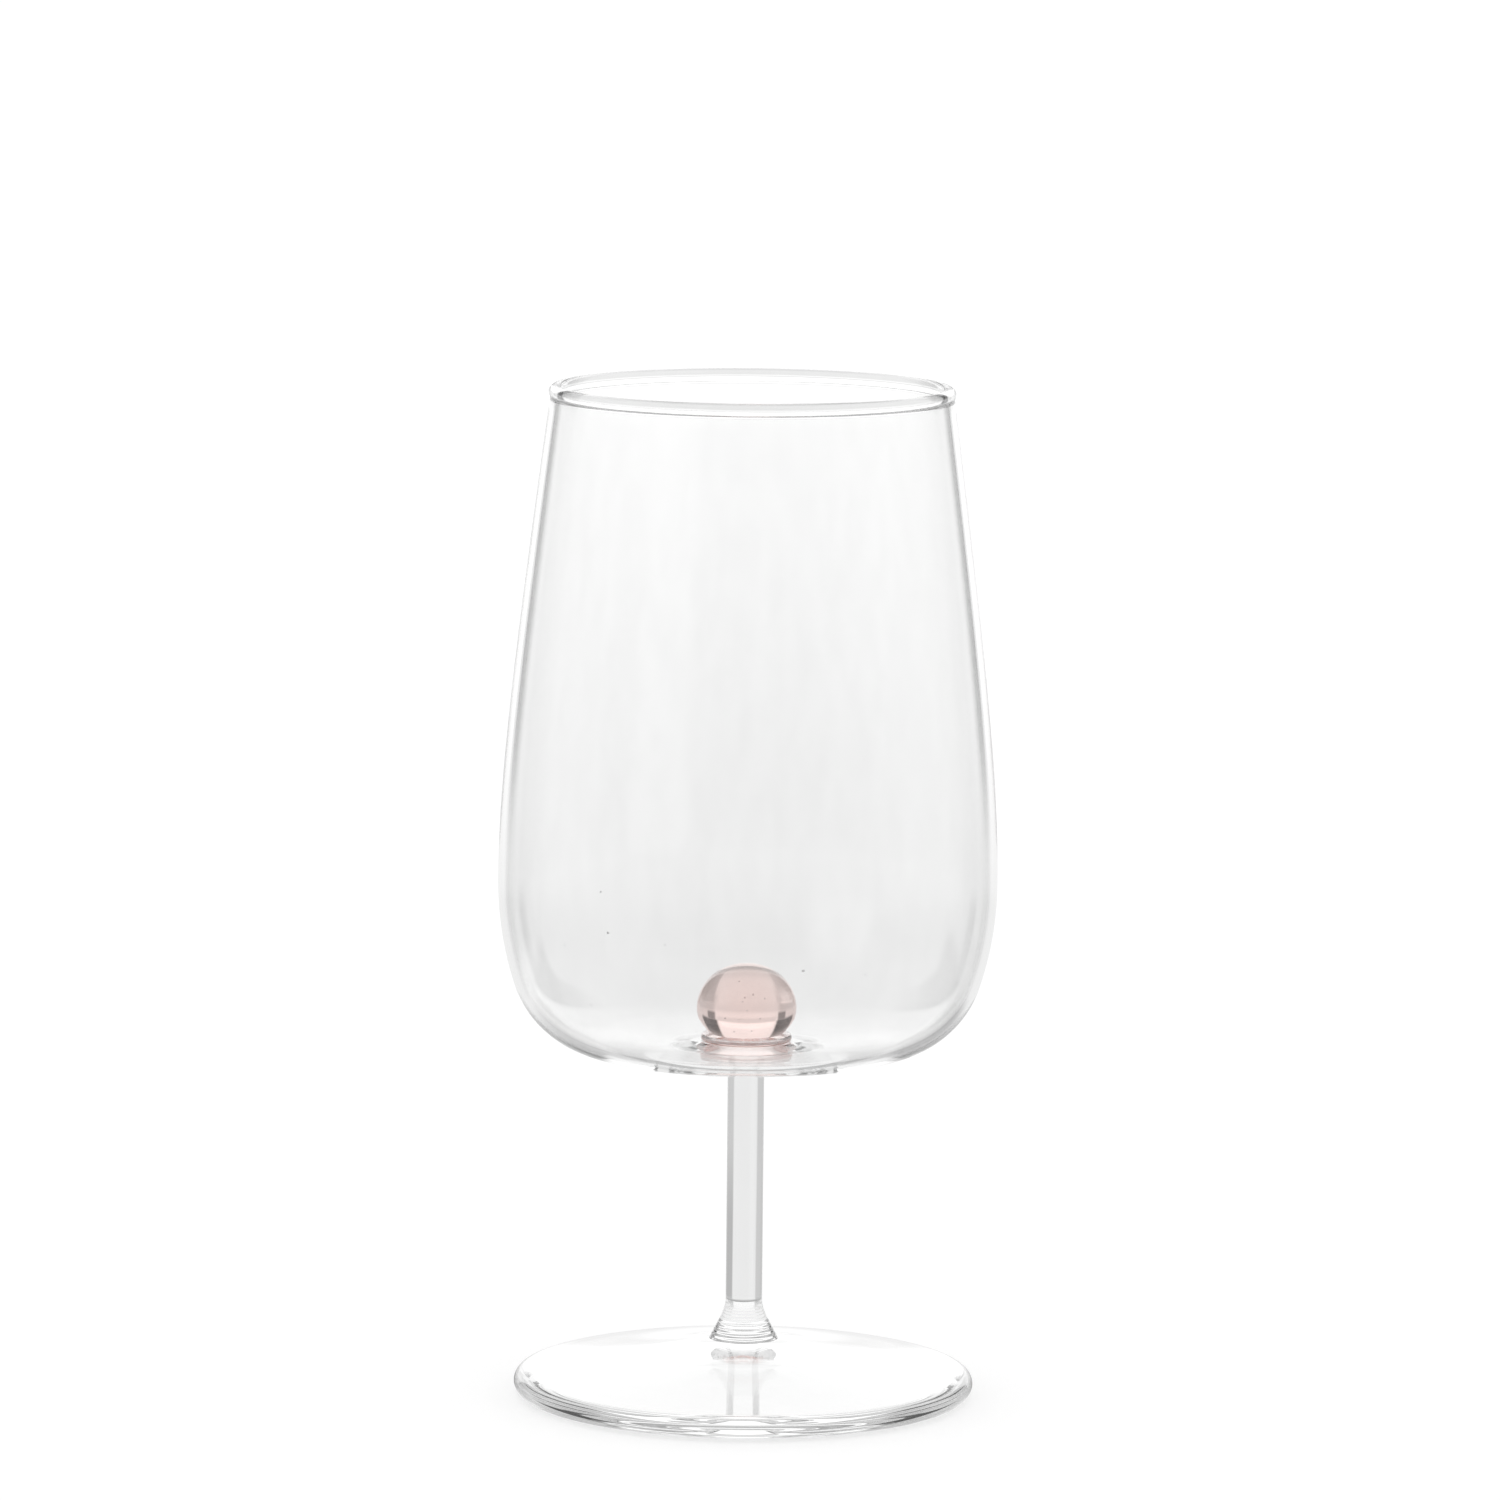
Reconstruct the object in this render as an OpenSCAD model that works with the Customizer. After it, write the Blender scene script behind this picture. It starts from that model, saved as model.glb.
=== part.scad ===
// Stemmed goblet in clear blown glass, with a ball of rose-coloured glass fused to the floor of its bowl.
// Millimetres, +Z up. The origin is the middle of the resting face, and Z is the axis of the whole piece.
// Bowl, stem and foot are one piece of glass, so they are one closed section turned about that axis.

/* [Whole goblet] */
// Height from the table to the top of the rim
goblet_h = 170; // [155:1:190]

/* [Bowl] */
// Outer diameter of the bowl at its widest
bowl_d = 83.4; // [78:0.2:92]
// Outer height of the bowl, from its underside to the top of the rim
bowl_h = 114; // [100:1:130]
// Height of the widest place above the underside
belly_h = 31; // [28:0.5:38]
// Radius of the curve just below the widest place
belly_r = 56; // [40:1:80]
// How far that curve turns in before the shoulder takes over, in degrees
belly_turn = 18; // [12:1:22]
// Fullness of the shoulder: at 1 it is as full as it can be, and the dome below it is flat
shoulder_fullness = 0.858; // [0.6:0.01:0.94]
// How softly the upper wall bends away from the widest place
wall_softness = 3.8; // [1:0.2:8]

/* [Glass thickness] */
// Wall just below the rim
rim_wall = 1.1; // [0.9:0.1:1.4]
// Wall at the widest place
belly_wall = 1.4; // [1.1:0.1:2.2]
// Floor of the bowl
floor_t = 1.8; // [1.4:0.1:3]

/* [Rim] */
// Outer diameter across the rim
mouth_d = 67.6; // [60:0.2:76]
// Thickness of the rounded bead that ends the wall
bead_d = 2.3; // [1.9:0.1:3]
// How far the bead stands out beyond the wall
bead_proud = 0.25; // [0:0.05:0.4]
// Radius of the fillet under the bead, on the outside of the wall
bead_fillet = 1; // [0.4:0.1:1.5]

/* [Ball] */
// Diameter of the ball across its widest
ball_d = 16.7; // [14:0.1:20]
// Full height that the ball would have if its oval were whole
ball_h = 14.9; // [13:0.1:18]
// Diameter of the ball's neck, where its oval ends above the collar
neck_d = 12.3; // [8:0.1:13]
// How much higher than the collar's edge the neck lies
neck_rise = 0.25; // [0.1:0.05:0.8]
// Diameter of the low collar in which the ball's glass spread on the floor
collar_d = 15.4; // [13.5:0.1:18]
// Height of the collar's edge
collar_h = 1.3; // [0.8:0.1:1.6]
// Radius of the collar's rounded edge
collar_bulge_r = 0.85; // [0.8:0.05:2]

/* [Mound on the floor] */
// Diameter of the low mound that the ball and the stem were welded to
mound_d = 27; // [22:0.5:34]
// Height of that mound
mound_h = 1.1; // [0.2:0.1:2]

/* [Stem] */
// Diameter of the stem rod
stem_d = 6.15; // [5:0.05:9]
// Radius of the small fillet between the stem and the bowl
stem_fillet = 0.6; // [0.2:0.1:1.5]

/* [Flare at the bottom of the stem] */
// Height of the flare
flare_h = 6.6; // [5:0.2:10]
// Diameter of the flare where it meets the foot
flare_d = 11.6; // [10:0.2:16]
// How softly the flare leaves the stem
flare_softness = 1.15; // [0.5:0.05:2]
// Number of turned ripples on the lower part of the flare
ripple_count = 5; // [0:1:8]
// Height of one ripple along the flare
ripple_pitch = 0.75; // [0.5:0.05:0.8]
// Depth of a ripple
ripple_depth = 0.05; // [0:0.01:0.2]

/* [Foot] */
// Diameter of the foot
foot_d = 77.2; // [66:0.2:90]
// Thickness of the rounded edge of the foot
foot_edge_t = 3.9; // [3:0.1:5.5]
// Height of the foot where the flare stands on it
foot_h = 9.4; // [8:0.2:12]
// Slope of the foot's top and of the hollow under it, just inside the edge, in degrees
foot_edge_slope = 6; // [2:0.5:8]
// Width of the flat ring on which the foot rests
rest_ring_w = 1.6; // [0.8:0.2:4]
// Height of the hollow under the foot, at the axis
hollow_h = 4.8; // [3:0.2:6]
// How softly the hollow is rounded off at the axis
hollow_softness = 8; // [2:0.5:10]

/* [Hidden] */
$fn = 128;

// Widths of the steps along the curves of the section
arc_step = 4;
wall_steps = 26;
foot_steps = 16;
floor_steps = 22;
flare_steps = 10;
steps_per_ripple = 8;

// Heights above the table
underside_z = goblet_h - bowl_h;
belly_z = underside_z + belly_h;
floor_z = underside_z + floor_t;
flare_top_z = foot_h + flare_h;

// Radii
bowl_r = bowl_d / 2;
mouth_r = mouth_d / 2;
bead_r = bead_d / 2;
stem_r = stem_d / 2;
flare_r = flare_d / 2;
foot_r = foot_d / 2;
edge_r = foot_edge_t / 2;
ball_r = ball_d / 2;
neck_r = neck_d / 2;
collar_r = collar_d / 2;

// A rise that starts level and tends to a straight slope, over a run s
function soft_rise(s, slope, softness) = sqrt(softness * softness + slope * slope * s * s) - softness;
// The slope that makes the soft rise reach a given height at the end of a run
function soft_slope(rise, run, softness) = sqrt(rise * (rise + 2 * softness)) / run;

// Points on an arc about [cr, cz] from angle a0 to angle a1
function arc_points(cr, cz, radius, a0, a1) =
    let (n = max(2, ceil(abs(a1 - a0) / arc_step)))
    [for (i = [0 : n]) let (a = a0 + (a1 - a0) * i / n) [cr + radius * cos(a), cz + radius * sin(a)]];

// The bowl below its widest place is three arcs that run into each other:
// the belly, the shoulder, and a shallow dome centred on the axis.
function shoulder_centre(widest_r, curve_r, turn_r) =
    [widest_r - curve_r + (curve_r - turn_r) * cos(belly_turn), belly_z - (curve_r - turn_r) * sin(belly_turn)];
// Radius of the dome whose lowest point is at bottom_z and that touches the shoulder's circle
function dome_radius(c, turn_r, bottom_z) =
    (c[0] * c[0] + pow(c[1] - bottom_z, 2) - turn_r * turn_r) / (2 * (c[1] - bottom_z - turn_r));
function dome_z(r, radius, bottom_z) = bottom_z + radius - sqrt(radius * radius - r * r);
// Angle below the horizontal at which the shoulder hands over to the dome
function dome_turn(c, radius, bottom_z) = atan2(bottom_z + radius - c[1], c[0]);

// Radius of the shoulder: its fullness times the radius at which the dome would be flat
function shoulder_radius(curve_r, bottom_z) =
    shoulder_fullness * (belly_z - bottom_z - curve_r * sin(belly_turn)) / (1 - sin(belly_turn));

shoulder_r = shoulder_radius(belly_r, underside_z);
outer_centre = shoulder_centre(bowl_r, belly_r, shoulder_r);
outer_dome_r = dome_radius(outer_centre, shoulder_r, underside_z);
outer_turn = dome_turn(outer_centre, outer_dome_r, underside_z);

inner_r = bowl_r - belly_wall;
inner_belly_r = belly_r - belly_wall;
inner_shoulder_r = shoulder_radius(inner_belly_r, floor_z);
inner_centre = shoulder_centre(inner_r, inner_belly_r, inner_shoulder_r);
inner_dome_r = dome_radius(inner_centre, inner_shoulder_r, floor_z);
inner_turn = dome_turn(inner_centre, inner_dome_r, floor_z);
inner_dome_edge_r = inner_dome_r * cos(inner_turn);

// The collar's flat seat is the top of the mound, and the collar's edge bulges beyond it
collar_turn = asin(collar_h / 2 / collar_bulge_r);
seat_r = collar_r - collar_bulge_r * (1 - cos(collar_turn));
seat_z = dome_z(seat_r, inner_dome_r, floor_z) + mound_h;
neck_turn = acos(neck_r / ball_r);
ball_centre_z = seat_z + collar_h + neck_rise + ball_h / 2 * sin(neck_turn);

// Rim bead, and the angles at which the two faces of the wall run into it
bead_centre = [mouth_r - bead_r, goblet_h - bead_r];
bead_out_angle = -acos((bead_r - bead_proud) / bead_r);
bead_in_angle = 360 - acos((bead_r - bead_proud - rim_wall) / bead_r);
rim_out = bead_centre + bead_r * [cos(bead_out_angle), sin(bead_out_angle)];
rim_in = bead_centre + bead_r * [cos(bead_in_angle), sin(bead_in_angle)];

// Radius of a wall face at height z, above the widest place
function wall_radius(z, widest_r, rim_point) =
    widest_r - soft_rise(z - belly_z,
        soft_slope(widest_r - rim_point[0], rim_point[1] - belly_z, wall_softness), wall_softness);

// The fillet under the bead touches the wall's outer face and the bead
wall_lean = wall_radius(rim_out[1] - 1, bowl_r, rim_out) - rim_out[0];
wall_down = [wall_lean, -1] / norm([wall_lean, 1]);
wall_out = [1, wall_lean] / norm([wall_lean, 1]);
from_wall = bead_centre - rim_out - bead_fillet * wall_out;
bead_drop = from_wall * wall_down;
fillet_drop = bead_drop + sqrt(pow(bead_r + bead_fillet, 2) - from_wall * from_wall + bead_drop * bead_drop);
bead_fillet_centre = rim_out + bead_fillet * wall_out + fillet_drop * wall_down;
wall_top_z = bead_fillet_centre[1] - bead_fillet * wall_out[1];
bead_start = atan2(bead_fillet_centre[1] - bead_centre[1], bead_fillet_centre[0] - bead_centre[0]);

// Height of the mound above the floor's dome at radius r
function mound_rise(r) =
    let (t = (r - seat_r) / (mound_d / 2 - seat_r))
    mound_h * (1 + cos(180 * min(t, 1))) / 2;

// The foot's two faces rise from its edge to the middle, and steepen inwards
function foot_rise(s, bend) = s * tan(foot_edge_slope) + bend * s * s;
function foot_bend(rise, run) = (rise - run * tan(foot_edge_slope)) / (run * run);

edge_centre_r = foot_r - edge_r;
top_start_r = edge_centre_r + edge_r * sin(foot_edge_slope);
top_start_z = edge_r + edge_r * cos(foot_edge_slope);
top_run = top_start_r - flare_r;
top_bend = foot_bend(foot_h - top_start_z, top_run);
function foot_top_z(r) = top_start_z + foot_rise(top_start_r - r, top_bend);

hollow_r = edge_centre_r - rest_ring_w;
function soft_radius(r) = norm([r, hollow_softness]) - hollow_softness;
hollow_run = soft_radius(hollow_r);
hollow_bend = foot_bend(hollow_h, hollow_run);
function hollow_z(r) = foot_rise(hollow_run - soft_radius(r), hollow_bend);

// Flare, with ripples that fill its lower part
ripple_run = ripple_count * ripple_pitch;
flare_slope = soft_slope(flare_r - stem_r, flare_h, flare_softness);
function ripple(z) =
    z - foot_h < ripple_run ? ripple_depth * (cos(360 * (z - foot_h) / ripple_pitch) - 1) / 2 : 0;
function flare_radius(z) = stem_r + soft_rise(flare_top_z - z, flare_slope, flare_softness) + ripple(z);

// The parts of the section, in order from the axis under the foot to the axis on the bowl's floor
foot_points = concat(
    [for (i = [0 : foot_steps - 1]) let (r = hollow_r * i / foot_steps) [r, hollow_z(r)]],
    [[hollow_r, 0]],
    arc_points(edge_centre_r, edge_r, edge_r, -90, 90 - foot_edge_slope),
    [for (i = [1 : foot_steps - 1]) let (r = top_start_r - top_run * i / foot_steps) [r, foot_top_z(r)]]
);
rippled_points = [for (i = [0 : ripple_count * steps_per_ripple - 1])
    let (z = foot_h + ripple_pitch * i / steps_per_ripple) [flare_radius(z), z]];
smooth_flare_points = [for (i = [0 : flare_steps])
    let (z = foot_h + ripple_run + (flare_h - ripple_run) * i / flare_steps) [flare_radius(z), z]];

fillet_centre_r = stem_r + stem_fillet;
fillet_top_z = dome_z(fillet_centre_r, outer_dome_r, underside_z);
fillet_points = arc_points(fillet_centre_r, fillet_top_z - stem_fillet, stem_fillet, 180, 94);

outer_dome_start = asin(fillet_centre_r / outer_dome_r);
bowl_outside = concat(
    arc_points(0, underside_z + outer_dome_r, outer_dome_r, outer_dome_start - 90, -outer_turn - 1),
    arc_points(outer_centre[0], outer_centre[1], shoulder_r, -outer_turn, -belly_turn - 1),
    arc_points(bowl_r - belly_r, belly_z, belly_r, -belly_turn, 0),
    [for (i = [1 : wall_steps - 1]) let (z = belly_z + (wall_top_z - belly_z) * i / wall_steps)
        [wall_radius(z, bowl_r, rim_out), z]],
    arc_points(bead_fillet_centre[0], bead_fillet_centre[1], bead_fillet, 180 + atan(wall_lean), bead_start + 180)
);
bead_points = arc_points(bead_centre[0], bead_centre[1], bead_r, bead_start + 8, bead_in_angle - 12);
bowl_inside = concat(
    [for (i = [0 : wall_steps - 1]) let (z = rim_in[1] - (rim_in[1] - belly_z) * i / wall_steps)
        [wall_radius(z, inner_r, rim_in), z]],
    arc_points(inner_r - inner_belly_r, belly_z, inner_belly_r, 0, 1 - belly_turn),
    arc_points(inner_centre[0], inner_centre[1], inner_shoulder_r, -belly_turn, 1 - inner_turn)
);
floor_points = [for (i = [0 : floor_steps])
    let (r = inner_dome_edge_r + (seat_r - inner_dome_edge_r) * i / floor_steps)
    [r, dome_z(r, inner_dome_r, floor_z) + mound_rise(r)]];

glass_section = concat(
    foot_points, rippled_points, smooth_flare_points, fillet_points,
    bowl_outside, bead_points, bowl_inside, floor_points, [[0, seat_z]]
);

// Ball section: the flat seat, the collar's rounded edge, and an upright oval that stands on the collar
ball_section = concat(
    [[0, seat_z]],
    arc_points(collar_r - collar_bulge_r, seat_z + collar_h / 2, collar_bulge_r, -collar_turn, collar_turn),
    [for (a = arc_points(0, 0, 1, -neck_turn, 90)) [ball_r * max(a[0], 0), ball_centre_z + ball_h / 2 * a[1]]]
);

// Bowl, stem and foot: one piece of clear glass
module clear_glass() {
    color([0.86, 0.93, 0.93, 0.4])
        rotate_extrude() polygon(glass_section);
}

// The ball of rose glass, fused by the flat of its collar to the floor of the bowl
module rose_ball() {
    color([0.86, 0.62, 0.62, 0.8])
        rotate_extrude() polygon(ball_section);
}

clear_glass();
rose_ball();
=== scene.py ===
"""Stemmed goblet in clear blown glass, with a ball of rose glass fused to the floor of its bowl.

Metres, +Z up. The origin is the middle of the foot's resting face, and Z is the axis of the goblet.
Each glass is one section, drawn from the goblet's own sizes and turned about that axis.
"""

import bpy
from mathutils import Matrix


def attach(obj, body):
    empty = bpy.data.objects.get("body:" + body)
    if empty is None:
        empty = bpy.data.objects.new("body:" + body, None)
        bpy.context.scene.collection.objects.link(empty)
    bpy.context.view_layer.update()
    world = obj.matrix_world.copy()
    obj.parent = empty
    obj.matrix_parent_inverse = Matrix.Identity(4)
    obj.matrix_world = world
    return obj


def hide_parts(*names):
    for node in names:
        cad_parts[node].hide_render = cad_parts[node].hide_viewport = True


bl_info = {
    "name": "Stemmed goblet",
    "version": (1, 0, 0),
    "blender": (4, 5, 0),
    "location": "3D View > Sidebar > Goblet",
    "description": "Clear blown-glass goblet with a rose glass ball fused in its bowl",
    "category": "Object",
}

from math import acos, asin, atan2, ceil, cos, degrees, hypot, pi, radians, sin, sqrt, tan, tau

import bmesh
import bpy
from bpy.props import FloatProperty, FloatVectorProperty, IntProperty, PointerProperty
from mathutils import Euler, Matrix, Vector

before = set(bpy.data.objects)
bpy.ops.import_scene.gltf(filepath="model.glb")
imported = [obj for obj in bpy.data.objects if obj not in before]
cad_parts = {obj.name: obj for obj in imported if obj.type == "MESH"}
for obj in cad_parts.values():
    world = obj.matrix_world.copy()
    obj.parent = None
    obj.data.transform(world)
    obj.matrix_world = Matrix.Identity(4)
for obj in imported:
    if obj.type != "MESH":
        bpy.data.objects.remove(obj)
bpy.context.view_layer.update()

MM = 0.001

# Fineness of the turned meshes
TURN_STEPS = 192
BALL_STEPS = 160
ARC_STEP = radians(3)
BELLY_STEP = radians(1.5)
BEAD_STEP = radians(8)
STEM_FILLET_STEP = radians(6)
COLLAR_STEP = radians(15)
WALL_STEPS = 44
FOOT_STEPS = 34
FLOOR_STEPS = 60
DOME_STEPS = 18
STEPS_PER_RIPPLE = 10
FLARE_STEPS = 14
CREASE_ANGLE = radians(24)
WELD_DISTANCE = 2e-8
# Seeds in the bowl's wall: height, turn from the front and diameter
BOWL_SEEDS = (
    (125.4 * MM, radians(-72), 0.3 * MM),
    (90.0 * MM, radians(-35.5), 0.3 * MM),
    (83.4 * MM, radians(-33.5), 0.4 * MM),
    (82.2 * MM, radians(-19), 0.2 * MM),
    (80.3 * MM, radians(-47), 0.2 * MM),
    (78.3 * MM, radians(13), 0.45 * MM),
    (77.1 * MM, radians(28.5), 0.2 * MM),
    (70.7 * MM, radians(-41), 0.22 * MM),
)
# Bubbles in the ball: place from the ball's middle, and diameter
BALL_BUBBLES = (
    ((1.0 * MM, -5.7 * MM, 2.9 * MM), 0.3 * MM),
    ((-0.3 * MM, -6.1 * MM, 2.5 * MM), 0.26 * MM),
    ((-0.6 * MM, -6.3 * MM, 1.9 * MM), 0.2 * MM),
    ((2.8 * MM, -5.5 * MM, 2.3 * MM), 0.22 * MM),
    ((-1.2 * MM, -4.1 * MM, 4.6 * MM), 0.24 * MM),
    ((0.1 * MM, -6.6 * MM, 0.6 * MM), 0.2 * MM),
    ((-3.3 * MM, -5.8 * MM, -0.8 * MM), 0.28 * MM),
    ((2.1 * MM, -6.3 * MM, -0.7 * MM), 0.24 * MM),
    ((-1.1 * MM, -6.5 * MM, -0.9 * MM), 0.22 * MM),
    ((-1.9 * MM, -5.2 * MM, -3.4 * MM), 0.26 * MM),
    ((0.8 * MM, -5.6 * MM, -3.2 * MM), 0.24 * MM),
)
# How near a flat's edge an extra ring lies, so that the flat keeps its own normal
FLAT_GUARD = 0.02 * MM
# Where the fillet above the stem meets the bowl's dome, which is almost level there
STEM_FILLET_END = radians(94)


def size(name, default, description):
    return FloatProperty(
        name=name,
        description=description,
        default=default,
        min=0.0,
        precision=5,
        unit="LENGTH",
        subtype="DISTANCE",
    )


def ratio(name, default, description):
    return FloatProperty(name=name, description=description, default=default, min=0.1, max=1.0, precision=3)


def angle(name, default, description):
    return FloatProperty(
        name=name,
        description=description,
        default=radians(default),
        precision=3,
        unit="ROTATION",
        subtype="ANGLE",
    )


class GobletSizes(bpy.types.PropertyGroup):
    """Sizes of the goblet"""

    goblet_h: size("Height", 170 * MM, "Height from the table to the top of the rim")
    bowl_d: size("Bowl diameter", 83.4 * MM, "Outer diameter of the bowl at its widest")
    bowl_h: size("Bowl height", 114 * MM, "Outer height of the bowl, underside to rim")
    belly_h: size("Belly height", 31 * MM, "Height of the widest place above the underside")
    belly_r: size("Belly curve", 56 * MM, "Radius of the curve just below the widest place")
    belly_turn: angle("Belly turn", 18, "How far that curve turns in before the shoulder")
    shoulder_fullness: ratio("Shoulder", 0.858, "Fullness of the shoulder; at 1 the dome below it is flat")
    wall_softness: size("Wall softness", 3.8 * MM, "How softly the upper wall bends away from the belly")
    rim_wall: size("Wall at the rim", 1.1 * MM, "Thickness of the wall just below the rim")
    belly_wall: size("Wall at the belly", 1.4 * MM, "Thickness of the wall at the widest place")
    floor_t: size("Floor", 1.8 * MM, "Thickness of the bowl's floor")
    mouth_d: size("Mouth", 67.6 * MM, "Outer diameter across the rim")
    bead_d: size("Rim bead", 2.3 * MM, "Thickness of the rounded bead that ends the wall")
    bead_proud: size("Bead stands out", 0.25 * MM, "How far the bead stands out beyond the wall")
    bead_fillet: size("Bead fillet", 1 * MM, "Radius of the fillet under the bead, outside the wall")
    bead_root: size("Bead root", 0.6 * MM, "Radius of the fillet under the bead, inside the wall")
    ball_d: size("Ball diameter", 16.7 * MM, "Diameter of the ball across its widest")
    ball_h: size("Ball height", 14.9 * MM, "Height that the ball would have without its flat")
    neck_d: size("Neck", 12.3 * MM, "Diameter of the ball where its collar begins")
    neck_rise: size("Neck rise", 0.25 * MM, "How much higher than the collar's edge the neck lies")
    collar_d: size("Collar", 15.4 * MM, "Diameter of the low collar in which the ball spread on the floor")
    collar_h: size("Collar height", 1.3 * MM, "Height of the collar's edge")
    collar_bulge_r: size("Collar bulge", 0.85 * MM, "Radius of the collar's rounded edge")
    mound_d: size("Mound", 27 * MM, "Diameter of the low mound on the floor that carries the ball")
    mound_h: size("Mound height", 1.1 * MM, "Height of that mound")
    stem_d: size("Stem", 6.15 * MM, "Diameter of the stem")
    stem_fillet: size("Stem fillet", 0.6 * MM, "Radius of the fillet between stem and bowl")
    flare_h: size("Flare height", 6.6 * MM, "Height of the flare at the bottom of the stem")
    flare_d: size("Flare diameter", 11.6 * MM, "Diameter of the flare where it meets the foot")
    flare_softness: size("Flare softness", 1.15 * MM, "How softly the flare leaves the stem")
    ripple_count: IntProperty(
        name="Ripples", description="Turned ripples on the lower part of the flare", default=5, min=0, max=8
    )
    ripple_pitch: size("Ripple pitch", 0.75 * MM, "Height of one ripple")
    ripple_depth: size("Ripple depth", 0.05 * MM, "Depth of a ripple")
    foot_d: size("Foot", 77.2 * MM, "Diameter of the foot")
    foot_edge_t: size("Foot edge", 3.9 * MM, "Thickness of the rounded edge of the foot")
    foot_h: size("Foot height", 9.4 * MM, "Height of the foot where the flare stands on it")
    foot_edge_slope: angle("Foot slope", 6, "Slope of the foot's top and of the hollow, just inside the edge")
    rest_ring_w: size("Resting ring", 1.6 * MM, "Width of the flat ring on which the foot rests")
    hollow_h: size("Hollow", 4.8 * MM, "Height of the hollow under the foot, at the axis")
    hollow_softness: size("Hollow softness", 8 * MM, "How softly the hollow is rounded off at the axis")


class GobletLooks(bpy.types.PropertyGroup):
    """Colours of the goblet"""

    clear_tint: FloatVectorProperty(
        name="Clear glass",
        description="Tint of the clear glass",
        subtype="COLOR",
        size=3,
        min=0.0,
        max=1.0,
        default=(0.996, 0.997, 0.996),
    )
    rose_tint: FloatVectorProperty(
        name="Rose glass",
        description="Colour that the rose glass lets through",
        subtype="COLOR",
        size=3,
        min=0.0,
        max=1.0,
        default=(0.86, 0.56, 0.48),
    )


# Curves of the section


def soft_rise(run, slope, softness):
    """A rise that starts level and tends to a straight slope"""
    return sqrt(softness * softness + slope * slope * run * run) - softness


def soft_slope(rise, run, softness):
    """The slope that makes the soft rise reach a given height at the end of a run"""
    return sqrt(rise * (rise + 2 * softness)) / run


def foot_rise(height, run, edge_slope):
    """The foot's faces rise from its edge to a height in the middle, and steepen inwards"""
    slope = tan(edge_slope)
    bend = (height - run * slope) / (run * run)
    return lambda span: span * slope + bend * span * span


def arc_points(centre, radius, start, end, step=ARC_STEP):
    """Points on an arc, from one angle to another"""
    n = max(2, ceil(abs(end - start) / step))
    turns = [start + (end - start) * i / n for i in range(n + 1)]
    return [(centre[0] + radius * cos(a), centre[1] + radius * sin(a)) for a in turns]


def dome_radius(centre, turn_r, bottom_z):
    """Radius of the dome that is lowest at bottom_z and touches the shoulder's circle"""
    drop = centre[1] - bottom_z
    return (centre[0] ** 2 + drop**2 - turn_r**2) / (2 * (drop - turn_r))


def dome_z(r, radius, bottom_z):
    return bottom_z + radius - sqrt(radius * radius - r * r)


class BowlFace:
    """One face of the bowl, outer or inner: dome, shoulder, belly and upper wall that run into each other"""

    def __init__(self, s, widest_r, curve_r, bottom_z, rim_point):
        self.s = s
        self.belly_z = s.goblet_h - s.bowl_h + s.belly_h
        self.widest_r = widest_r
        self.curve_r = curve_r
        self.bottom_z = bottom_z
        self.rim_point = rim_point
        level_r = (self.belly_z - bottom_z - curve_r * sin(s.belly_turn)) / (1 - sin(s.belly_turn))
        self.turn_r = s.shoulder_fullness * level_r
        reach = curve_r - self.turn_r
        self.centre = (
            widest_r - curve_r + reach * cos(s.belly_turn),
            self.belly_z - reach * sin(s.belly_turn),
        )
        self.dome_r = dome_radius(self.centre, self.turn_r, bottom_z)
        self.turn = atan2(bottom_z + self.dome_r - self.centre[1], self.centre[0])

    def wall_radius(self, z):
        softness = self.s.wall_softness
        rim_r, rim_z = self.rim_point
        slope = soft_slope(self.widest_r - rim_r, rim_z - self.belly_z, softness)
        return self.widest_r - soft_rise(z - self.belly_z, slope, softness)

    def radius_at(self, z):
        """Radius at any height above the dome"""
        drop = self.belly_z - z
        if drop <= 0:
            return self.wall_radius(z)
        if drop < self.curve_r * sin(self.s.belly_turn):
            return self.widest_r - self.curve_r + sqrt(self.curve_r**2 - drop**2)
        return self.centre[0] + sqrt(self.turn_r**2 - (z - self.centre[1]) ** 2)

    def shoulder_and_belly(self):
        belly_turn = self.s.belly_turn
        shoulder = arc_points(self.centre, self.turn_r, -self.turn, -belly_turn)
        belly_centre = (self.widest_r - self.curve_r, self.belly_z)
        belly = arc_points(belly_centre, self.curve_r, -belly_turn, 0, BELLY_STEP)
        return shoulder[:-1] + belly

    def upper_wall(self, top_z):
        rise = top_z - self.belly_z
        heights = [self.belly_z + rise * i / WALL_STEPS for i in range(1, WALL_STEPS + 1)]
        return [(self.wall_radius(z), z) for z in heights]


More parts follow.
